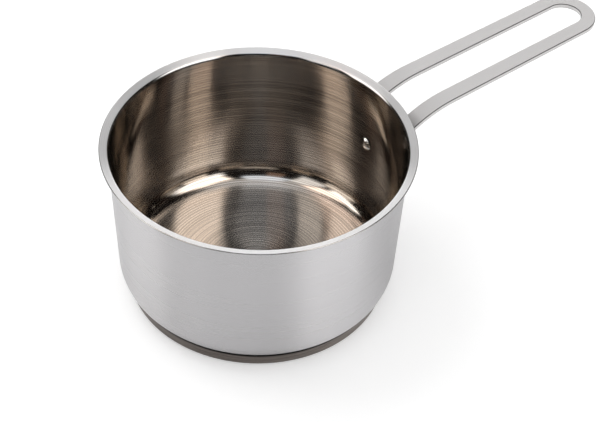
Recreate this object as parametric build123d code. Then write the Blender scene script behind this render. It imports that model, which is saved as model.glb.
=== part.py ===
from build123d import *
import math
import os

# Milk pan: a drawn steel cup on a capsule base, with one flat looped handle on a single rivet.
# Lengths in millimetres, angles in degrees. The pan stands on z = 0 with its axis on Z; the handle points to +X.

# Cup
rim_radius = 75.0        # axis to the outermost point of the pouring rim
rim_height = 84.4        # table to the middle of the rim's edge
rim_overhang = 3.9       # the rim reaches this far out past the wall's top
wall_draft = 2.4         # the wall closes in towards the base
sheet = 0.75             # drawn sheet of the cup
corner_radius = 12.5     # outside of the corner between wall and floor
lip_bend = 1.25          # underside of the bend that turns the wall out into the rim
lip_rise = 16.0          # the rim still climbs a little on its way out

# Capsule base
cap_inset = 4.6          # the cap's side stands this far inside the corner's widest circle
cap_sheet = 0.5
cap_corner = 2.8         # outside of the cap's lower edge
cap_edge_round = 0.2     # broken outer edge of the cap's free lip
core_thickness = 4.6     # aluminium between the cap and the cup's floor
core_relief = 1.2        # the core's upper edge is cut back behind the groove
groove_gap = 0.5         # the cap's lip stops this far under the cup's corner

# Handle
strip = 2.5              # thickness of the stamped sheet
grip_drop = 14.9         # rim level down to the grip's top face
grip_length = 136.9      # wall's top to the centre of the handle's round end
grip_end_width = 34.5    # across the round end
grip_taper = 0.42        # each side widens towards the pan by this angle
slot_width = 18.2
slot_lead = 0.9          # the slot's outer round end is centred this far beyond the handle's
slot_root_gap = 1.8      # root plate's outer face to the slot's inner end
neck_run = 39.8          # wall's top to where the level grip starts to curve down
neck_radius = 62.0       # top face of that long curve
neck_slope = 26.0        # steepest slope of the neck
root_bend = 4.5          # top face of the tight bend onto the wall
edge_round = 0.4         # deburred edges of the stamping

# Root plate, seen from along the handle
plate_below = 9.5        # rivet's axis down to the plate's lower edge
plate_foot_width = 18.0
plate_foot_round = 14.0
plate_shoulder = 2.0     # the plate keeps the neck's width this far above the rivet's axis
plate_shoulder_round = 8.0

# Rivet
rivet_drop = 35.0        # rim level down to the rivet's axis
shank_radius = 2.0
inner_head_radius = 3.5
inner_head_height = 1.9
outer_head_radius = 4.0
outer_head_height = 1.5
head_edge = 0.4          # straight edge under each dome

overrun = 5.0            # tools pass this far beyond what they cut


# Directions and points of the cup's outline, as (radius, height)
wall_radius = rim_radius - rim_overhang
body_seat = cap_sheet + core_thickness
draft = math.radians(wall_draft)
rise = math.radians(lip_rise)
wall_normal = Vector(math.cos(draft), -math.sin(draft))
wall_up = Vector(math.sin(draft), math.cos(draft))
lip_out = Vector(math.cos(rise), math.sin(rise))
lip_up = Vector(-math.sin(rise), math.cos(rise))

lip_middle = lip_bend + sheet / 2
lip_length = (rim_radius - sheet / 2 - wall_radius - lip_bend * wall_normal.X - lip_middle * lip_up.X) / lip_out.X
bend_start = Vector(
    wall_radius,
    rim_height - lip_bend * wall_normal.Y - lip_middle * lip_up.Y - lip_length * lip_out.Y,
)
bend_centre = bend_start + wall_normal * lip_bend
corner_height = body_seat + corner_radius
corner_top = corner_height + corner_radius * wall_normal.Y
corner_centre = Vector(
    wall_radius - (bend_start.Y - corner_top) * math.tan(draft) - corner_radius * wall_normal.X,
    corner_height,
)
cap_radius = corner_centre.X + corner_radius - cap_inset


def on_circle(centre, radius, angle):
    """Point of a circle at an angle from the radius axis."""
    turn = math.radians(angle)
    return centre + Vector(math.cos(turn), math.sin(turn)) * radius


def turned(edges):
    """Solid of revolution about the pan's axis from edges drawn as (radius, height)."""
    return revolve(Plane.XZ * make_face(edges), Axis.Z)


def cup_surface(inset):
    """Edges of one face of the cup's sheet, from the floor's centre to the rim's edge, and the last point."""
    bottom = Vector(0, body_seat + inset)
    corner = CenterArc(corner_centre, corner_radius - inset, -90, 90 - wall_draft)
    bend = CenterArc(bend_centre, lip_bend + inset, 180 - wall_draft, wall_draft + lip_rise - 90)
    lip_end = bend @ 1 + lip_out * lip_length
    edges = [
        Line(bottom, corner @ 0),
        corner,
        Line(corner @ 1, bend @ 0),
        bend,
        Line(bend @ 1, lip_end),
    ]
    return edges, lip_end


def wall_cone(outset):
    """Solid inside a surface that follows the wall, set out from the wall's outer face."""
    top = bend_start + wall_normal * outset
    foot = top - wall_up * (rim_height - body_seat)
    edges = Polyline((0, top.Y), (top.X, top.Y), (foot.X, foot.Y), (0, foot.Y), close=True)
    return turned(edges)


def wall_face(outset, height):
    """Radius of a surface that follows the wall, at a height."""
    return bend_start.X + outset / math.cos(draft) - (bend_start.Y - height) * math.tan(draft)


def make_cup():
    outer, outer_end = cup_surface(0)
    inner, inner_end = cup_surface(sheet)
    edge = ThreePointArc(outer_end, (outer_end + inner_end) / 2 + lip_out * sheet / 2, inner_end)
    axis = Line((0, body_seat), (0, body_seat + sheet))
    return turned(outer + [edge] + inner + [axis]) - rivet_hole()


def corner_point(radius):
    """Point of the cup's outer corner at a radius from the axis, and its angle on the corner's arc."""
    angle = -math.degrees(math.acos((radius - corner_centre.X) / corner_radius))
    return on_circle(corner_centre, corner_radius, angle), angle


def make_core():
    radius = cap_radius - cap_sheet
    fillet_radius = cap_corner - cap_sheet
    inner_edge, angle = corner_point(radius - core_relief)
    side_top = Vector(radius, inner_edge.Y - core_relief)
    corner = CenterArc(corner_centre, corner_radius, -90, angle + 90)
    lower = CenterArc((radius - fillet_radius, cap_corner), fillet_radius, -90, 90)
    edges = [
        Line((0, body_seat), corner @ 0),
        corner,
        Line(corner @ 1, side_top),
        Line(side_top, lower @ 1),
        lower,
        Line(lower @ 0, (0, cap_sheet)),
        Line((0, cap_sheet), (0, body_seat)),
    ]
    return turned(edges)


def make_cap():
    under_corner, _ = corner_point(cap_radius)
    lip_height = under_corner.Y - groove_gap
    outer = CenterArc((cap_radius - cap_corner, cap_corner), cap_corner, -90, 90)
    inner = CenterArc((cap_radius - cap_corner, cap_corner), cap_corner - cap_sheet, -90, 90)
    broken = CenterArc((cap_radius - cap_edge_round, lip_height - cap_edge_round), cap_edge_round, 0, 90)
    lip_inside = Vector(cap_radius - cap_sheet, lip_height)
    edges = [
        Line((0, 0), outer @ 0),
        outer,
        Line(outer @ 1, broken @ 0),
        broken,
        Line(broken @ 1, lip_inside),
        Line(lip_inside, inner @ 1),
        inner,
        Line(inner @ 0, (0, cap_sheet)),
        Line((0, cap_sheet), (0, 0)),
    ]
    return turned(edges)


# Places on the handle's side view, as (radius, height)
grip_reach = wall_radius + grip_length
slot_reach = grip_reach + slot_lead
slot_root_reach = wall_radius + strip + slot_root_gap + slot_width / 2
neck_reach = wall_radius + neck_run
grip_top = rim_height - grip_drop
rivet_height = rim_height - rivet_drop
slope = math.radians(neck_slope)
neck_centre = Vector(neck_reach, grip_top - neck_radius)
neck_end = on_circle(neck_centre, neck_radius, 90 + neck_slope)
neck_down = Vector(-math.cos(slope), -math.sin(slope))
neck_under = Vector(math.sin(slope), -math.cos(slope))
root_gap = (neck_end + neck_under * root_bend - bend_start).dot(wall_normal) - root_bend
neck_straight = root_gap / math.cos(slope + draft)
root_centre = neck_end + neck_down * neck_straight + neck_under * root_bend
handle_end = grip_reach + grip_end_width / 2
plate_bottom = rivet_height - plate_below


def strip_face(depth):
    """Edges of one face of the strip in side view, from the plate's foot to beyond the handle's end."""
    root = CenterArc(root_centre, root_bend - depth, 180 - wall_draft, wall_draft + neck_slope - 90)
    neck = CenterArc(neck_centre, neck_radius - depth, 90 + neck_slope, -neck_slope)
    foot_height = plate_bottom - overrun
    foot = Vector(wall_face(depth, foot_height), foot_height)
    tip = Vector(handle_end + overrun, grip_top - depth)
    edges = [
        Line(foot, root @ 0),
        root,
        Line(root @ 1, neck @ 0),
        neck,
        Line(neck @ 1, tip),
    ]
    return edges, foot, tip


def strip_sheet():
    """The bent sheet before stamping: a dished ring about the pan's axis, so that the neck hugs the wall."""
    top, top_foot, top_tip = strip_face(0)
    under, under_foot, under_tip = strip_face(strip)
    return turned(top + [Line(top_tip, under_tip)] + under + [Line(under_foot, top_foot)])


def half_width(reach):
    """Half the grip's width at a distance from the pan's axis."""
    taper = math.radians(grip_taper)
    return (grip_end_width / 2 + (grip_reach - reach) * math.sin(taper)) / math.cos(taper)


def handle_plan():
    """Loop seen from above: straight tapering sides, a round end, and the long slot."""
    behind_plate = wall_radius - 2 * overrun
    half_root = half_width(behind_plate)
    end = CenterArc((grip_reach, 0), grip_end_width / 2, grip_taper - 90, 180 - 2 * grip_taper)
    sides = Polyline(end @ 1, (behind_plate, half_root), (behind_plate, -half_root), end @ 0)
    loop = make_face([end, sides])
    slot_length = slot_reach - slot_root_reach
    slot = Pos((slot_reach + slot_root_reach) / 2, 0) * SlotCenterToCenter(slot_length, slot_width)
    return extrude(loop - slot, rim_height)


def plate_front():
    """Root plate seen along the handle: full width at the neck, closing in to a rounded foot."""
    half_neck = half_width(wall_radius)
    half_top = half_neck + overrun
    half_foot = plate_foot_width / 2
    shoulder = rivet_height + plate_shoulder
    outline = Polyline(
        (-half_top, rim_height),
        (-half_neck, shoulder),
        (-half_foot, plate_bottom),
        (half_foot, plate_bottom),
        (half_neck, shoulder),
        (half_top, rim_height),
        close=True,
    )
    face = make_face(outline)
    face = fillet(face.vertices().group_by(Axis.Y)[0], plate_foot_round)
    shoulders = [corner for corner in face.vertices() if abs(corner.Y - shoulder) < plate_shoulder]
    face = fillet(shoulders, plate_shoulder_round)
    return extrude(Plane.YZ * face, handle_end + overrun)


def make_handle():
    stamping = strip_sheet() & handle_plan() & plate_front()
    return fillet(stamping.edges(), edge_round) - rivet_hole()


def rivet_hole():
    """Shank's cylinder, long enough to pass through the wall and the root plate."""
    length = strip + sheet + 2 * overrun
    middle = wall_face(0, rivet_height)
    return Pos(middle, 0, rivet_height) * Rot(0, 90, 0) * Cylinder(shank_radius, length)


def rivet_head(radius, height, seat, way):
    """Domed head on the shank's axis; its foot runs on through the sheet for the wall to trim."""
    dome_height = height - head_edge
    dome_radius = (radius ** 2 + dome_height ** 2) / (2 * dome_height)
    crown = math.degrees(math.asin(radius / dome_radius))
    dome = CenterArc((0, height - dome_radius), dome_radius, 90 - crown, crown)
    edges = [
        Line((0, -strip / 2), (radius, -strip / 2)),
        Line((radius, -strip / 2), dome @ 0),
        dome,
        Line(dome @ 1, (0, -strip / 2)),
    ]
    head = revolve(Plane.XZ * make_face(edges), Axis.Z)
    return Pos(seat, 0, rivet_height) * Rot(0, 90 * way, 0) * head


def make_rivet():
    inner_seat = wall_face(-sheet, rivet_height)
    outer_seat = wall_face(strip, rivet_height)
    inner_head = rivet_head(inner_head_radius, inner_head_height, inner_seat, -1) & wall_cone(-sheet)
    outer_head = rivet_head(outer_head_radius, outer_head_height, outer_seat, 1) - wall_cone(strip)
    shank_length = outer_seat - inner_seat
    shank = Pos(inner_seat + shank_length / 2, 0, rivet_height) * Rot(0, 90, 0) * Cylinder(shank_radius, shank_length)
    return inner_head + shank + outer_head


parts = {
    "pan_body": make_cup(),
    "base_core": make_core(),
    "base_cap": make_cap(),
    "handle": make_handle(),
    "handle_rivet": make_rivet(),
}

os.makedirs("parts", exist_ok=True)
for name, solid in parts.items():
    solid.label = name
    export_step(solid, f"parts/{name}.step")
    print(name, "volume", round(solid.volume, 1), "valid", solid.is_valid)
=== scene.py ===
import math

import bpy
from mathutils import Matrix, Vector


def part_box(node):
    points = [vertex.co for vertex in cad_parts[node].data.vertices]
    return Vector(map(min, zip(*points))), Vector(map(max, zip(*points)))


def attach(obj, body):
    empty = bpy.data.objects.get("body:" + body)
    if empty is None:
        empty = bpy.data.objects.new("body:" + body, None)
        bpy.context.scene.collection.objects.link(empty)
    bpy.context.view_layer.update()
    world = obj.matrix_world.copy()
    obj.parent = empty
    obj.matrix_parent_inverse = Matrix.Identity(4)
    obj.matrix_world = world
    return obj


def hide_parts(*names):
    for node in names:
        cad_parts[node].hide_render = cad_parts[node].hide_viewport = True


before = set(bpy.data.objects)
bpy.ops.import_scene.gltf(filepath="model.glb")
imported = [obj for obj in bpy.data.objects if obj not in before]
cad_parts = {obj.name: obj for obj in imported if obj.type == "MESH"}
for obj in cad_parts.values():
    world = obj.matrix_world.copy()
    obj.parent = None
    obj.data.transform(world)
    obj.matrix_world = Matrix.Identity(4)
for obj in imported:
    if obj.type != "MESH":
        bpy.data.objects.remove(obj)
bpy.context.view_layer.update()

mm = 0.001
bodyLow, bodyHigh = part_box("pan_body")
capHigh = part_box("base_cap")[1]


# Small helpers for meshes, node trees and modifiers

def linkObject(name, data):
    piece = bpy.data.objects.new(name, data)
    bpy.context.scene.collection.objects.link(piece)
    return piece


def setInputs(modifier, values):
    # a modifier's inputs are found by their names but set by their identifiers
    for item in modifier.node_group.interface.items_tree:
        if item.item_type == "SOCKET" and item.in_out == "INPUT" and item.name in values:
            modifier[item.identifier] = values[item.name]


def bakeNodes(name, source, tree, values):
    # the result of a node tree on a source object becomes a plain mesh object
    modifier = source.modifiers.new(name, "NODES")
    modifier.node_group = tree
    setInputs(modifier, values)
    evaluated = source.evaluated_get(bpy.context.evaluated_depsgraph_get())
    mesh = bpy.data.meshes.new_from_object(evaluated)
    source.modifiers.clear()
    bpy.data.objects.remove(source)
    mesh.name = name
    return linkObject(name, mesh)


def feed(tree, socket, value):
    # a value is set on the socket, and another node's socket is linked to it
    if isinstance(value, bpy.types.NodeSocket):
        tree.links.new(value, socket)
    else:
        socket.default_value = value


def nodeIn(tree, kind, inputs=None, **settings):
    # one node with its settings; an input is a value or a socket to link from
    node = tree.nodes.new(kind)
    for key, value in settings.items():
        setattr(node, key, value)
    for key, value in (inputs or {}).items():
        feed(tree, node.inputs[key], value)
    return node


def maths(tree, operation, first, second=0.0, clamp=False):
    node = nodeIn(tree, "ShaderNodeMath", {0: first, 1: second}, operation=operation, use_clamp=clamp)
    return node.outputs[0]


def groupWith(name, inputs, output):
    # an empty shader group with number sockets; inputs holds their names and default values
    tree = bpy.data.node_groups.new(name, "ShaderNodeTree")
    for socket, value in inputs.items():
        made = tree.interface.new_socket(socket, in_out="INPUT", socket_type="NodeSocketFloat")
        made.default_value = value
    tree.interface.new_socket(output, in_out="OUTPUT", socket_type="NodeSocketFloat")
    return tree, tree.nodes.new("NodeGroupInput").outputs, tree.nodes.new("NodeGroupOutput").inputs


# Outlines, as (radius, height) in metres

def arcPoints(centre, radius, start, end, steps):
    angles = [math.radians(start + (end - start) * i / steps) for i in range(steps + 1)]
    return [(centre[0] + radius * math.cos(a), centre[1] + radius * math.sin(a)) for a in angles]


def linePoints(a, b, steps, guard):
    # both ends get a short step of length guard, which keeps the shading of the arcs off the flat
    length = math.dist(a, b)
    inner = [guard + (length - 2 * guard) * i / steps for i in range(steps + 1)]
    return [(a[0] + (b[0] - a[0]) * d / length, a[1] + (b[1] - a[1]) * d / length) for d in inner]


# The lathe: a node tree that turns an outline about Z into a closed skin

mergeWithin = 0.001 * mm        # closes the seam and the poles


def latheTree():
    tree = bpy.data.node_groups.new("turnedSkin", "GeometryNodeTree")
    face = tree.interface
    face.new_socket("Outline", in_out="INPUT", socket_type="NodeSocketGeometry")
    for name in ("Segments", "Outline Points"):
        face.new_socket(name, in_out="INPUT", socket_type="NodeSocketInt")
    face.new_socket("Metal", in_out="INPUT", socket_type="NodeSocketMaterial")
    face.new_socket("Geometry", in_out="OUTPUT", socket_type="NodeSocketGeometry")
    given = tree.nodes.new("NodeGroupInput").outputs
    # a grid column for each step round and one more at the seam, and a row for each outline point
    columns = maths(tree, "ADD", given["Segments"], 1.0)
    grid = nodeIn(
        tree, "GeometryNodeMeshGrid", {"Vertices X": columns, "Vertices Y": given["Outline Points"]}
    )
    index = tree.nodes.new("GeometryNodeInputIndex").outputs[0]
    alongOutline = maths(tree, "MODULO", index, given["Outline Points"])
    column = maths(tree, "FLOOR", maths(tree, "DIVIDE", index, given["Outline Points"]))
    turn = maths(tree, "MULTIPLY", maths(tree, "DIVIDE", column, given["Segments"]), math.tau)

    def fromOutline(value):
        inputs = {"Geometry": given["Outline"], "Value": value, "Index": alongOutline}
        return nodeIn(
            tree, "GeometryNodeSampleIndex", inputs, data_type="FLOAT_VECTOR", domain="POINT"
        ).outputs[0]

    point = fromOutline(tree.nodes.new("GeometryNodeInputPosition").outputs[0])
    turned = nodeIn(
        tree, "ShaderNodeVectorRotate", {"Vector": point, "Angle": turn}, rotation_type="Z_AXIS"
    )
    outlineFinishAndPaintedLight = nodeIn(
        tree, "GeometryNodeInputNamedAttribute", {"Name": "finishAndPaintedLight"}, data_type="FLOAT_VECTOR"
    )
    finishAndPaintedLight = fromOutline(outlineFinishAndPaintedLight.outputs[0])
    marked = nodeIn(
        tree, "GeometryNodeStoreNamedAttribute",
        {"Geometry": grid.outputs["Mesh"], "Name": "finishAndPaintedLight", "Value": finishAndPaintedLight},
        data_type="FLOAT_VECTOR", domain="POINT",
    )
    skin = nodeIn(
        tree, "GeometryNodeSetPosition", {"Geometry": marked.outputs[0], "Position": turned.outputs[0]}
    )
    closed = nodeIn(
        tree, "GeometryNodeMergeByDistance", {"Geometry": skin.outputs[0], "Distance": mergeWithin}
    )
    smooth = nodeIn(tree, "GeometryNodeSetShadeSmooth", {"Geometry": closed.outputs[0]})
    real = nodeIn(tree, "GeometryNodeRealizeInstances", {"Geometry": smooth.outputs[0]})
    painted = nodeIn(
        tree, "GeometryNodeSetMaterial", {"Geometry": real.outputs[0], "Material": given["Metal"]}
    )
    out = tree.nodes.new("NodeGroupOutput")
    tree.links.new(painted.outputs[0], out.inputs["Geometry"])
    return tree


turnedSkin = latheTree()


def turnedPiece(name, outline, finishAndPaintedLight, segments, metal):
    # the given function turns an outline point's number into its three marks, which set the finish and the
    # painted reflection and shade
    line = bpy.data.meshes.new(name + "Outline")
    line.from_pydata([(radius, 0, height) for radius, height in outline], [], [])
    marks = line.attributes.new("finishAndPaintedLight", "FLOAT_VECTOR", "POINT")
    for i, mark in enumerate(marks.data):
        mark.vector = finishAndPaintedLight(i)
    source = linkObject(name + "Outline", line)
    values = {"Segments": segments, "Outline Points": len(outline), "Metal": metal}
    return bakeNodes(name, source, turnedSkin, values)


# Brush lines that run round the pan's axis, on the wall as on the floor

brush = {
    "coarse": 1.0,        # scratches for each line
    "fine": 1.9,
    "detail": 1.0,
    "ringsPerLine": 0.5,
    "driftPerLine": 0.05,
    "drift": 12.0,        # radians by which the rings' spacing wanders
}


def turnedLinesGroup(size):
    inputs = {"Lines per Metre": 900.0, "Length": 3.0, "Seed": 0.0, "Rings": 0.05}
    tree, given, out = groupWith("turnedLines", inputs, "Height")
    place = tree.nodes.new("ShaderNodeTexCoord").outputs["Object"]
    xyz = nodeIn(tree, "ShaderNodeSeparateXYZ", {0: place}).outputs
    flat = nodeIn(tree, "ShaderNodeCombineXYZ", {"X": xyz["X"], "Y": xyz["Y"]}).outputs[0]
    radius = nodeIn(tree, "ShaderNodeVectorMath", {0: flat}, operation="LENGTH").outputs["Value"]
    around = nodeIn(tree, "ShaderNodeVectorMath", {0: flat}, operation="NORMALIZE").outputs[0]
    lines = maths(tree, "MULTIPLY", maths(tree, "ADD", radius, xyz["Z"]), given["Lines per Metre"])
    stretched = nodeIn(
        tree, "ShaderNodeVectorMath", {0: around, "Scale": given["Length"]}, operation="SCALE"
    ).outputs[0]

    def noiseAt(factor):
        across = maths(tree, "ADD", maths(tree, "MULTIPLY", lines, factor), given["Seed"])
        up = nodeIn(tree, "ShaderNodeCombineXYZ", {"Z": across}).outputs[0]
        both = nodeIn(tree, "ShaderNodeVectorMath", {0: stretched, 1: up}, operation="ADD").outputs[0]
        inputs = {"Vector": both, "Scale": 1.0, "Detail": size["detail"]}
        return nodeIn(tree, "ShaderNodeTexNoise", inputs).outputs["Fac"]

    # uneven scratches, over rings whose spacing drifts a little
    drift = maths(tree, "MULTIPLY", noiseAt(size["driftPerLine"]), size["drift"])
    turns = maths(tree, "MULTIPLY", lines, size["ringsPerLine"] * math.tau)
    rings = maths(tree, "MULTIPLY", maths(tree, "SINE", maths(tree, "ADD", turns, drift)), given["Rings"])
    both = maths(tree, "ADD", noiseAt(size["coarse"]), noiseAt(size["fine"]))
    tree.links.new(maths(tree, "ADD", maths(tree, "MULTIPLY", both, 0.5), rings), out["Height"])
    return tree


turnedLines = turnedLinesGroup(brush)


# The metals

noiseSpan = (0.3, 0.7)        # where most of a noise texture's values lie
toneSpan = (0.4, 0.6)        # line heights that go from the dark to the light colour
levelSpan = (0.85, 0.98)        # how far a normal points up where the wall's corner becomes the floor


def metalBase(name, colour, constants):
    metal = bpy.data.materials.new(name)
    metal.use_nodes = True
    shader = metal.node_tree.nodes["Principled BSDF"]
    for socket, value in {"Metallic": 1.0, "Base Color": (*colour, 1.0), **constants}.items():
        shader.inputs[socket].default_value = value
    return metal, metal.node_tree, shader


def remap(tree, value, low, high, span=noiseSpan):
    inputs = {"Value": value, "From Min": span[0], "From Max": span[1], "To Min": low, "To Max": high}
    return nodeIn(tree, "ShaderNodeMapRange", inputs).outputs["Result"]


def blended(tree, factor, first, second):
    # a value that goes from the first to the second
    return remap(tree, factor, first, second, (0.0, 1.0))


def tintedBetween(tree, factor, first, second):
    # a colour that goes from the first to the second, each a socket or a value
    node = nodeIn(tree, "ShaderNodeMix", data_type="RGBA")
    for name, kind, value in (("Factor", "VALUE", factor), ("A", "RGBA", first), ("B", "RGBA", second)):
        feed(tree, next(s for s in node.inputs if s.name == name and s.type == kind), value)
    return next(s for s in node.outputs if s.type == "RGBA")


def tinted(tree, factor, dark, light):
    return tintedBetween(tree, factor, (*dark, 1.0), (*light, 1.0))


def brushedRound(name, look):
    # a metal brushed round the axis; the outline's marks pick the inside, the rim and a polished edge, each
    # with its own finish, and the inside's brown and the edge's darker colour are painted reflection and
    # painted shade
    metal, tree, shader = metalBase(
        name, look["light"],
        {"Roughness": look["roughness"], "Anisotropic": look["anisotropy"], "Anisotropic Rotation": 0.25},
    )
    inputs = {socket: look[socket] for socket in ("Lines per Metre", "Length", "Seed", "Rings")}
    lines = nodeIn(tree, "ShaderNodeGroup", inputs, node_tree=turnedLines).outputs["Height"]
    tone = remap(tree, lines, 0.0, 1.0, toneSpan)
    mark = nodeIn(tree, "ShaderNodeAttribute", attribute_name="finishAndPaintedLight").outputs["Vector"]
    inside, rim, edge = nodeIn(tree, "ShaderNodeSeparateXYZ", {0: mark}).outputs
    normal = tree.nodes.new("ShaderNodeTexCoord").outputs["Normal"]
    upward = nodeIn(tree, "ShaderNodeSeparateXYZ", {0: normal}).outputs["Z"]
    floor = maths(tree, "MULTIPLY", inside, remap(tree, upward, 0.0, 1.0, levelSpan))

    shade, metallic = tinted(tree, tone, look["dark"], look["light"]), 1.0
    rough, strength = look["roughness"], look["bump"]
    for zone, mask in (("inside", inside), ("floor", floor), ("rim", rim), ("edge", edge)):
        if zone in look:
            own = look[zone]
            shade = tintedBetween(tree, mask, shade, tinted(tree, tone, own["dark"], own["light"]))
            rough = blended(tree, mask, rough, own["roughness"])
            metallic = blended(tree, mask, metallic, own["metallic"])
            strength = blended(tree, mask, strength, own["bump"])
    spread = look["roughnessSpread"]
    rough = maths(tree, "ADD", rough, remap(tree, lines, -spread, spread))
    bump = nodeIn(tree, "ShaderNodeBump", {"Height": lines, "Strength": strength, "Distance": look["depth"]})
    tangent = nodeIn(tree, "ShaderNodeTangent", direction_type="RADIAL", axis="Z")
    feed(tree, shader.inputs["Base Color"], shade)
    feed(tree, shader.inputs["Roughness"], rough)
    feed(tree, shader.inputs["Metallic"], metallic)
    feed(tree, shader.inputs["Normal"], bump.outputs[0])
    feed(tree, shader.inputs["Tangent"], tangent.outputs[0])
    return metal


# The cup

cup = {
    "rimRadius": bodyHigh.x,
    "seat": bodyLow.z,        # underside of the floor
    "rimHeight": 84.4 * mm,
    "rimOverhang": 3.9 * mm,
    "draft": 2.4,        # degrees
    "sheet": 0.75 * mm,
    "cornerRadius": 12.5 * mm,
    "lipBend": 1.25 * mm,
    "lipRise": 16.0,        # degrees
    "guard": 0.6 * mm,
    "lipGuard": 0.15 * mm,
    "segments": 288,
    "floorSteps": 14,
    "cornerSteps": 24,
    "wallSteps": 16,
    "outerBendSteps": 10,
    "innerBendSteps": 14,
    "lipSteps": 3,
    "edgeSteps": 10,
    # finish and painted reflection and shade, counted in outline points
    "polishedPaintedDarkPoints": 9,        # of the rounded edge, from its lower end; polished, and painted darker as shade under the lip
    "satinPoints": 8,        # of the lip's upper face, past the edge
    "insideLead": 6,        # the inside's finish and its painted brown reflection start this far before the lip's upper face
}
cupLook = {
    "light": (0.60, 0.59, 0.60),        # outside
    "dark": (0.58, 0.57, 0.58),
    "roughness": 0.26,
    "bump": 0.03,
    "roughnessSpread": 0.02,
    "anisotropy": 1.0,
    "Lines per Metre": 1300.0,
    "Rings": 0.06,
    "Length": 0.25,
    "Seed": 0.0,
    "depth": 0.2 * mm,
    # the warm brown tones of the inside and the floor are painted reflection of a warm, dark room; each
    # light and dark pair is the brush lines' own tone
    "inside": {
        "light": (0.60, 0.55, 0.495), "dark": (0.38, 0.34, 0.30),
        "roughness": 0.10, "metallic": 1.0, "bump": 0.09,
    },
    "floor": {
        "light": (0.66, 0.62, 0.58), "dark": (0.42, 0.395, 0.37),
        "roughness": 0.21, "metallic": 0.92, "bump": 0.1,
    },
    "rim": {
        "light": (0.82, 0.81, 0.81), "dark": (0.79, 0.78, 0.78),
        "roughness": 0.33, "metallic": 0.5, "bump": 0.05,
    },
    # the polished edge and the inner bend are painted darker than the steel: painted shade under the lip's
    # edge and a painted dark reflection in the bend
    "edge": {
        "light": (0.46, 0.45, 0.44), "dark": (0.44, 0.43, 0.42),
        "roughness": 0.12, "metallic": 1.0, "bump": 0.0,
    },
}


def cupOutline(size):
    draft, rise = math.radians(size["draft"]), math.radians(size["lipRise"])
    wallOut = (math.cos(draft), -math.sin(draft))        # square to the wall
    lipOut, lipUp = (math.cos(rise), math.sin(rise)), (-math.sin(rise), math.cos(rise))
    bend, sheet, corner, seat = size["lipBend"], size["sheet"], size["cornerRadius"], size["seat"]
    wallRadius = size["rimRadius"] - size["rimOverhang"]
    middle = bend + sheet / 2
    # the lip is as long as the overhang leaves it, and the wall ends where its bend starts
    lip = (size["rimRadius"] - sheet / 2 - wallRadius - bend * wallOut[0] - middle * lipUp[0]) / lipOut[0]
    wallTop = (wallRadius, size["rimHeight"] - bend * wallOut[1] - middle * lipUp[1] - lip * lipOut[1])
    bendCentre = (wallTop[0] + wallOut[0] * bend, wallTop[1] + wallOut[1] * bend)
    wallFoot = seat + corner + corner * wallOut[1]
    cornerCentre = (
        wallRadius - (wallTop[1] - wallFoot) * math.tan(draft) - corner * wallOut[0],
        seat + corner,
    )

    def oneFace(inset, bendSteps):
        # the floor's centre up to the wall's top, and the bend out to the rim's edge
        cornerArc = arcPoints(cornerCentre, corner - inset, -90, -size["draft"], size["cornerSteps"])
        bendArc = arcPoints(bendCentre, bend + inset, 180 - size["draft"], 90 + size["lipRise"], bendSteps)
        lipEnd = (bendArc[-1][0] + lipOut[0] * lip, bendArc[-1][1] + lipOut[1] * lip)
        floor = linePoints((0, seat + inset), cornerArc[0], size["floorSteps"], size["guard"])
        wall = linePoints(cornerArc[-1], bendArc[0], size["wallSteps"], size["guard"])
        rim = linePoints(bendArc[-1], lipEnd, size["lipSteps"], size["lipGuard"])
        return [(0, seat + inset), *floor, *cornerArc, *wall], [*bendArc, *rim]

    outerWall, outerLip = oneFace(0, size["outerBendSteps"])
    innerWall, innerLip = oneFace(sheet, size["innerBendSteps"])
    outer, inner = outerWall + outerLip, innerWall + innerLip
    edgeCentre = (
        (outer[-1][0] + inner[-1][0]) / 2 + lipOut[0] * size["lipGuard"],
        (outer[-1][1] + inner[-1][1]) / 2 + lipOut[1] * size["lipGuard"],
    )
    edge = arcPoints(edgeCentre, sheet / 2, size["lipRise"] - 90, size["lipRise"] + 90, size["edgeSteps"])
    whole = outer + edge + inner[::-1]

    rimFrom, lipFrom = len(outer) - 1, len(outer) + len(edge) + 1
    insideFrom, bendFrom = lipFrom - size["insideLead"], lipFrom + size["satinPoints"]
    bendTo = len(whole) - len(innerWall)
    polishedPaintedDarkFrom, polishedPaintedDarkTo = len(outer), len(outer) + size["polishedPaintedDarkPoints"]

    # the polished edge and the inner bend also carry the painted darker colour
    def finishAndPaintedLight(i):
        polishedPaintedDark = polishedPaintedDarkFrom <= i < polishedPaintedDarkTo or bendFrom <= i < bendTo
        return (float(i >= insideFrom), float(rimFrom <= i < bendFrom), float(polishedPaintedDark))

    return whole, finishAndPaintedLight


cupSteel = brushedRound("cupSteel", cupLook)
panBody = turnedPiece("panBody", *cupOutline(cup), cup["segments"], cupSteel)
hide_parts("pan_body")
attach(panBody, "root")
print("cup turned:", len(panBody.data.polygons), "faces")


# The base: a turned cap over the aluminium core, whose edge shows in the groove

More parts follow.
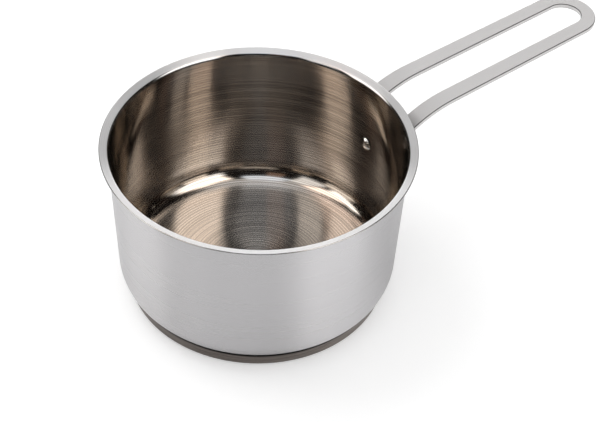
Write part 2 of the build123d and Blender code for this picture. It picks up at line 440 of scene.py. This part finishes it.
cap = {
    "radius": capHigh.x,
    "height": capHigh.z,
    "sheet": 0.5 * mm,
    "corner": 2.8 * mm,
    "edgeRound": 0.2 * mm,
    "underGuard": 0.4 * mm,
    "sideGuard": 0.35 * mm,
    "insideGuard": 0.1 * mm,
    "segments": 256,
    "underSteps": 12,
    "cornerSteps": 12,
    "sideSteps": 4,
    "edgeSteps": 5,
    "insideSteps": 3,
    "insideCornerSteps": 10,
}
capLook = {
    # the cap's dark brown-grey is painted reflection of the shaded floor round its foot, not the steel's own
    # colour
    "light": (0.22, 0.195, 0.178),
    "dark": (0.15, 0.13, 0.118),
    "roughness": 0.30,
    "roughnessSpread": 0.05,
    "anisotropy": 0.7,
    "Lines per Metre": 1100.0,
    "Rings": 0.02,
    "Length": 3.0,
    "Seed": 17.0,
    "bump": 0.2,
    "depth": 0.04 * mm,
    # the free lip's near-black is painted shade in the groove
    "edge": {
        "light": (0.015, 0.014, 0.013), "dark": (0.01, 0.01, 0.01),
        "roughness": 0.5, "metallic": 1.0, "bump": 0.0,
    },
}
# the aluminium core is painted nearly black, a painted shade for the groove where its edge shows
coreLook = {
    "light": (0.10, 0.095, 0.09),
    "dark": (0.05, 0.047, 0.045),
    "roughness": 0.5,
    "roughnessSpread": 0.08,
    "anisotropy": 0.5,
    "Lines per Metre": 1500.0,
    "Rings": 0.0,
    "Length": 2.0,
    "Seed": 31.0,
    "bump": 0.3,
    "depth": 0.04 * mm,
}


def capOutline(size):
    radius, height, sheet, corner = size["radius"], size["height"], size["sheet"], size["corner"]
    centre, broken = (radius - corner, corner), size["edgeRound"]
    outerArc = arcPoints(centre, corner, -90, 0, size["cornerSteps"])
    brokenArc = arcPoints((radius - broken, height - broken), broken, 0, 90, size["edgeSteps"])
    innerArc = arcPoints(centre, corner - sheet, 0, -90, size["insideCornerSteps"])
    lipInside = (radius - sheet, height)
    side = [
        (0, 0),
        *linePoints((0, 0), outerArc[0], size["underSteps"], size["underGuard"]),
        *outerArc,
        *linePoints(outerArc[-1], brokenArc[0], size["sideSteps"], size["sideGuard"]),
    ]
    insideWall = linePoints(lipInside, innerArc[0], size["insideSteps"], size["insideGuard"])
    whole = [*side, *brokenArc, lipInside, *insideWall, *innerArc, (0, sheet)]
    lipFrom, lipTo = len(side) - 1, len(side) + len(brokenArc) + 1

    def finishAndPaintedLight(i):
        # the free lip is painted nearly black, a painted shade in the groove
        return (0.0, 0.0, float(lipFrom <= i < lipTo))

    return whole, finishAndPaintedLight


capSteel = brushedRound("capSteel", capLook)
baseCap = turnedPiece("baseCap", *capOutline(cap), cap["segments"], capSteel)
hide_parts("base_cap")
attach(baseCap, "root")


def dressNode(node, metal):
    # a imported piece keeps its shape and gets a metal
    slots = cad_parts[node].data.materials
    slots.clear()
    slots.append(metal)


dressNode("base_core", brushedRound("coreMetal", coreLook))
print("base turned:", len(baseCap.data.polygons), "faces")


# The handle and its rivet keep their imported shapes

handleLook = {
    "colour": (0.75, 0.735, 0.73),
    "roughness": 0.40,
    "metallic": 0.45,
    "grain": 900.0,
    # the rounding's near-black is a painted dark reflection along the handle's edges
    "rounding": {"axis": "Z", "from": 0.10, "to": 0.90, "colour": (0.02, 0.02, 0.02), "roughness": 0.35},
}
rivetLook = {
    "colour": (0.66, 0.65, 0.63),
    "roughness": 0.10,
    "metallic": 1.0,
    "grain": 600.0,
    # the rounding's near-black is a painted dark reflection round the rivet's head
    "rounding": {"axis": "X", "from": -1.0, "to": 0.42, "colour": (0.02, 0.02, 0.02), "roughness": 0.35},
}
satin = {
    "detail": 3.0,
    "unevenness": 0.15,        # of the roughness
    "blend": 0.05,        # how soft the rounding's painted dark line is
    "bump": 0.1,
    "depth": 0.02 * mm,
}


def satinMetal(name, look, fine):
    metal, tree, shader = metalBase(
        name, look["colour"], {"Roughness": look["roughness"], "Metallic": look["metallic"]}
    )
    coordinates = tree.nodes.new("ShaderNodeTexCoord").outputs
    inputs = {"Vector": coordinates["Object"], "Scale": look["grain"], "Detail": fine["detail"]}
    noise = nodeIn(tree, "ShaderNodeTexNoise", inputs).outputs["Fac"]
    smoothest, roughest = 1 - fine["unevenness"], 1 + fine["unevenness"]
    rough = remap(tree, noise, look["roughness"] * smoothest, look["roughness"] * roughest)
    # the rounding between a face and its side is painted as a dark line, a painted dark reflection
    rounding, blend = look["rounding"], fine["blend"]
    slope = nodeIn(tree, "ShaderNodeSeparateXYZ", {0: coordinates["Normal"]}).outputs[rounding["axis"]]
    upright = maths(tree, "ABSOLUTE", slope)
    above = remap(tree, upright, 0.0, 1.0, (rounding["to"] - blend, rounding["to"] + blend))
    below = remap(tree, upright, 1.0, 0.0, (rounding["from"] - blend, rounding["from"] + blend))
    face = maths(tree, "ADD", above, below, clamp=True)
    inputs = {"Height": noise, "Strength": fine["bump"], "Distance": fine["depth"]}
    feed(tree, shader.inputs["Base Color"], tinted(tree, face, rounding["colour"], look["colour"]))
    feed(tree, shader.inputs["Roughness"], blended(tree, face, rounding["roughness"], rough))
    feed(tree, shader.inputs["Metallic"], blended(tree, face, 1.0, look["metallic"]))
    feed(tree, shader.inputs["Normal"], nodeIn(tree, "ShaderNodeBump", inputs).outputs[0])
    return metal


dressNode("handle", satinMetal("handleSteel", handleLook, satin))
dressNode("handle_rivet", satinMetal("rivetSteel", rivetLook, satin))
print("handle and rivet dressed")


# Floor, light and camera

studio = {
    "floorSize": 6.0,
    "floorWhite": 0.80,
    "floorGlow": 0.36,
    "floorShine": 0.13,        # the glow that metal sees instead
    "skyFill": 0.84,
    "lampPower": 5.0,
    "lampSize": 0.9,
    "lampPlace": (-0.7, 0.35, 1.3),        # to the shot's right, away from it and up
    "lampAim": (0, 0, 40 * mm),
    "roomColour": (0.012, 0.010, 0.009),
}
# The studio's azimuth, in degrees, runs from the shot's right over the far side to its left, and on to
# its own side at 270. Only metal sees the bands and boxes. Edges are half the widths of the soft sides.
floorBands = [
    {"azimuth": (150, 212), "elevation": (-90, 90), "edges": (18, 5), "shine": 0.12},
    {"azimuth": (292, 345), "elevation": (-90, 90), "edges": (18, 5), "shine": 0.26},
]
softBoxes = [
    # far side: a faint strip, one low behind the pan, and the ceiling
    {"azimuth": (45, 135), "elevation": (36, 46), "edges": (15, 3), "light": (0.50, 0.50, 0.50)},
    {"azimuth": (66, 114), "elevation": (-40, 20), "edges": (8, 5), "light": (3.4, 3.4, 3.4)},
    {"azimuth": (-180, 180), "elevation": (72, 130), "edges": (0.1, 5), "light": (0.90, 0.90, 0.91)},
    # right, low and high
    {"azimuth": (302, 348), "elevation": (12, 44), "edges": (5, 4), "light": (2.8, 2.8, 2.8)},
    {"azimuth": (304, 350), "elevation": (44, 68), "edges": (5, 4), "light": (3.2, 2.9, 2.65)},
    # left, low and high, and a weaker one nearer to the shot's own side
    {"azimuth": (166, 202), "elevation": (5, 48), "edges": (4, 4), "light": (2.9, 2.8, 2.7)},
    {"azimuth": (172, 206), "elevation": (48, 70), "edges": (4, 4), "light": (2.9, 2.45, 2.2)},
    {"azimuth": (210, 233), "elevation": (24, 68), "edges": (3, 5), "light": (1.4, 1.4, 1.4)},
    # the shot's own side: a warm trace and one overhead, and then one high on the far side
    {"azimuth": (246, 262), "elevation": (40, 60), "edges": (3, 5), "light": (0.30, 0.20, 0.15)},
    {"azimuth": (231, 290), "elevation": (60, 80), "edges": (4, 4), "light": (1.35, 1.5, 1.7)},
    {"azimuth": (74, 106), "elevation": (56, 68), "edges": (8, 4), "light": (1.4, 1.4, 1.4)},
]
shot = {
    "target": Vector((0, 0, cup["rimHeight"])),        # the middle of the rim's circle
    "targetPixel": (-42.09, -66.55),        # from the picture's centre, right and down
    "focalPixels": 1600.0,
    "pictureWidth": 600.0,
    "distance": 751.7 * mm,
    "elevation": 40.197,
    "azimuth": -38.75,
    "roll": -1.104,
    "sensor": 36.0,
    "clip": (0.01, 100.0),
}


def swung(first, second, angle):
    # two axes turned in their own plane
    cos, sin = math.cos(angle), math.sin(angle)
    return first * cos - second * sin, second * cos + first * sin


def placeCamera(size):
    elevation, azimuth = math.radians(size["elevation"]), math.radians(size["azimuth"])
    turn = Matrix.Rotation(azimuth, 3, "Z")
    right = turn @ Vector((1, 0, 0))
    ahead = turn @ Vector((0, math.cos(elevation), -math.sin(elevation)))
    up = right.cross(ahead)
    place = size["target"] - ahead * size["distance"]
    pan = math.atan(size["targetPixel"][0] / size["focalPixels"])
    tilt = math.atan(size["targetPixel"][1] / size["focalPixels"])
    ahead, right = swung(ahead, right, pan)
    ahead, up = swung(ahead, up, -tilt)
    right, up = swung(right, up, math.radians(size["roll"]))
    lens = bpy.data.cameras.new("shotCamera")
    lens.sensor_width = size["sensor"]
    lens.lens = size["focalPixels"] * size["sensor"] / size["pictureWidth"]
    lens.clip_start, lens.clip_end = size["clip"]
    camera = linkObject("shotCamera", lens)
    axes = Matrix((right, up, -ahead)).transposed()
    camera.matrix_world = Matrix.Translation(place) @ axes.to_4x4()
    bpy.context.scene.camera = camera


def softPatchGroup():
    # how much a direction lies in a soft-edged window of azimuth and elevation, all in degrees
    inputs = {
        "Azimuth": 0.0, "Azimuth Middle": 0.0, "Half Width": 20.0, "Side Edge": 4.0,
        "Elevation": 0.0, "Elevation Middle": 40.0, "Half Height": 20.0, "Top Edge": 6.0,
    }
    tree, given, out = groupWith("softPatch", inputs, "Mask")

    def window(away, half, edge):
        inputs = {
            "Value": maths(tree, "ABSOLUTE", away), "To Min": 1.0, "To Max": 0.0,
            "From Min": maths(tree, "SUBTRACT", half, edge), "From Max": maths(tree, "ADD", half, edge),
        }
        return nodeIn(tree, "ShaderNodeMapRange", inputs, interpolation_type="SMOOTHSTEP").outputs["Result"]

    aside = maths(tree, "SUBTRACT", given["Azimuth"], given["Azimuth Middle"])
    aside = nodeIn(tree, "ShaderNodeMath", {0: aside, 1: 180.0, 2: -180.0}, operation="WRAP").outputs[0]
    above = maths(tree, "SUBTRACT", given["Elevation"], given["Elevation Middle"])
    sideways = window(aside, given["Half Width"], given["Side Edge"])
    upright = window(above, given["Half Height"], given["Top Edge"])
    tree.links.new(maths(tree, "MULTIPLY", sideways, upright), out["Mask"])
    return tree


softPatch = softPatchGroup()


def patchMask(tree, azimuth, elevation, patch):
    (left, right), (low, high) = patch["azimuth"], patch["elevation"]
    side, top = patch["edges"]
    inputs = {
        "Azimuth": azimuth, "Azimuth Middle": (left + right) / 2, "Half Width": (right - left) / 2,
        "Elevation": elevation, "Elevation Middle": (low + high) / 2, "Half Height": (high - low) / 2,
        "Side Edge": side, "Top Edge": top,
    }
    return nodeIn(tree, "ShaderNodeGroup", inputs, node_tree=softPatch).outputs["Mask"]


def studioAngles(tree, direction):
    # the azimuth and elevation of a direction, in degrees, as the studio is set up
    turned = nodeIn(
        tree, "ShaderNodeVectorRotate", {"Vector": direction, "Angle": -math.radians(shot["azimuth"])},
        rotation_type="Z_AXIS",
    )
    xyz = nodeIn(tree, "ShaderNodeSeparateXYZ", {0: turned.outputs[0]}).outputs
    azimuth = maths(tree, "DEGREES", maths(tree, "ARCTAN2", xyz["Y"], xyz["X"]))
    return azimuth, maths(tree, "DEGREES", maths(tree, "ARCSINE", xyz["Z"]))


def whiteFloor(size, bands):
    half = size["floorSize"] / 2
    mesh = bpy.data.meshes.new("studioFloor")
    corners = [(-half, -half, 0), (half, -half, 0), (half, half, 0), (-half, half, 0)]
    mesh.from_pydata(corners, [], [(0, 1, 2, 3)])
    floor = linkObject("studioFloor", mesh)
    paint = bpy.data.materials.new("studioWhite")
    paint.use_nodes = True
    tree = paint.node_tree
    shader = tree.nodes["Principled BSDF"]
    shader.inputs["Base Color"].default_value = (*[size["floorWhite"]] * 3, 1.0)
    shader.inputs["Roughness"].default_value = 1.0
    shader.inputs["Specular IOR Level"].default_value = 0.0
    rays = tree.nodes.new("ShaderNodeLightPath").outputs
    seen = maths(tree, "ADD", rays["Is Camera Ray"], rays["Is Transmission Ray"], clamp=True)
    # metal sees a dimmer floor, with two wide bands that are brighter
    azimuth, elevation = studioAngles(tree, tree.nodes.new("ShaderNodeTexCoord").outputs["Object"])
    shine = size["floorShine"]
    for band in bands:
        mask = patchMask(tree, azimuth, elevation, band)
        shine = maths(tree, "ADD", shine, maths(tree, "MULTIPLY", mask, band["shine"]))
    plain = maths(tree, "MULTIPLY", seen, size["floorGlow"])
    shine = maths(tree, "MULTIPLY", rays["Is Glossy Ray"], shine)
    feed(tree, shader.inputs["Emission Color"], maths(tree, "ADD", plain, shine))
    feed(tree, shader.inputs["Emission Strength"], 1.0)
    mesh.materials.append(paint)


def studioWorld(size, boxes):
    # camera rays see plain white, and metal sees the studio's boxes, ceiling and dark room
    world = bpy.data.worlds.new("studioWorld")
    bpy.context.scene.world = world
    world.use_nodes = True
    tree = world.node_tree
    tree.nodes.clear()
    rays = tree.nodes.new("ShaderNodeLightPath").outputs
    azimuth, elevation = studioAngles(tree, tree.nodes.new("ShaderNodeTexCoord").outputs["Generated"])
    room = (*size["roomColour"], 1.0)
    for box in boxes:
        mask = patchMask(tree, azimuth, elevation, box)
        room = tintedBetween(tree, mask, room, (*box["light"], 1.0))

    def background(colour, strength):
        inputs = {"Color": colour, "Strength": strength}
        return nodeIn(tree, "ShaderNodeBackground", inputs).outputs[0]

    def either(factor, first, second):
        return nodeIn(tree, "ShaderNodeMixShader", {0: factor, 1: first, 2: second}).outputs[0]

    white = (1.0, 1.0, 1.0, 1.0)
    seen = maths(tree, "ADD", rays["Is Camera Ray"], rays["Is Transmission Ray"], clamp=True)
    lit = either(rays["Is Glossy Ray"], background(white, size["skyFill"]), background(room, 1.0))
    surface = either(seen, lit, background(white, 1.0))
    nodeIn(tree, "ShaderNodeOutputWorld", {"Surface": surface})


def softLamp(size):
    lamp = bpy.data.lights.new("softLamp", "AREA")
    lamp.shape = "DISK"
    lamp.size = size["lampSize"]
    lamp.energy = size["lampPower"]
    piece = linkObject("softLamp", lamp)
    place = Matrix.Rotation(math.radians(shot["azimuth"]), 3, "Z") @ Vector(size["lampPlace"])
    aim = Vector(size["lampAim"]) - place
    piece.matrix_world = Matrix.Translation(place) @ aim.to_track_quat("-Z", "Y").to_matrix().to_4x4()
    piece.visible_glossy = False        # the soft boxes are what metal sees


placeCamera(shot)
whiteFloor(studio, floorBands)
studioWorld(studio, softBoxes)
softLamp(studio)
bpy.context.scene.view_settings.view_transform = "Standard"
print("studio set")
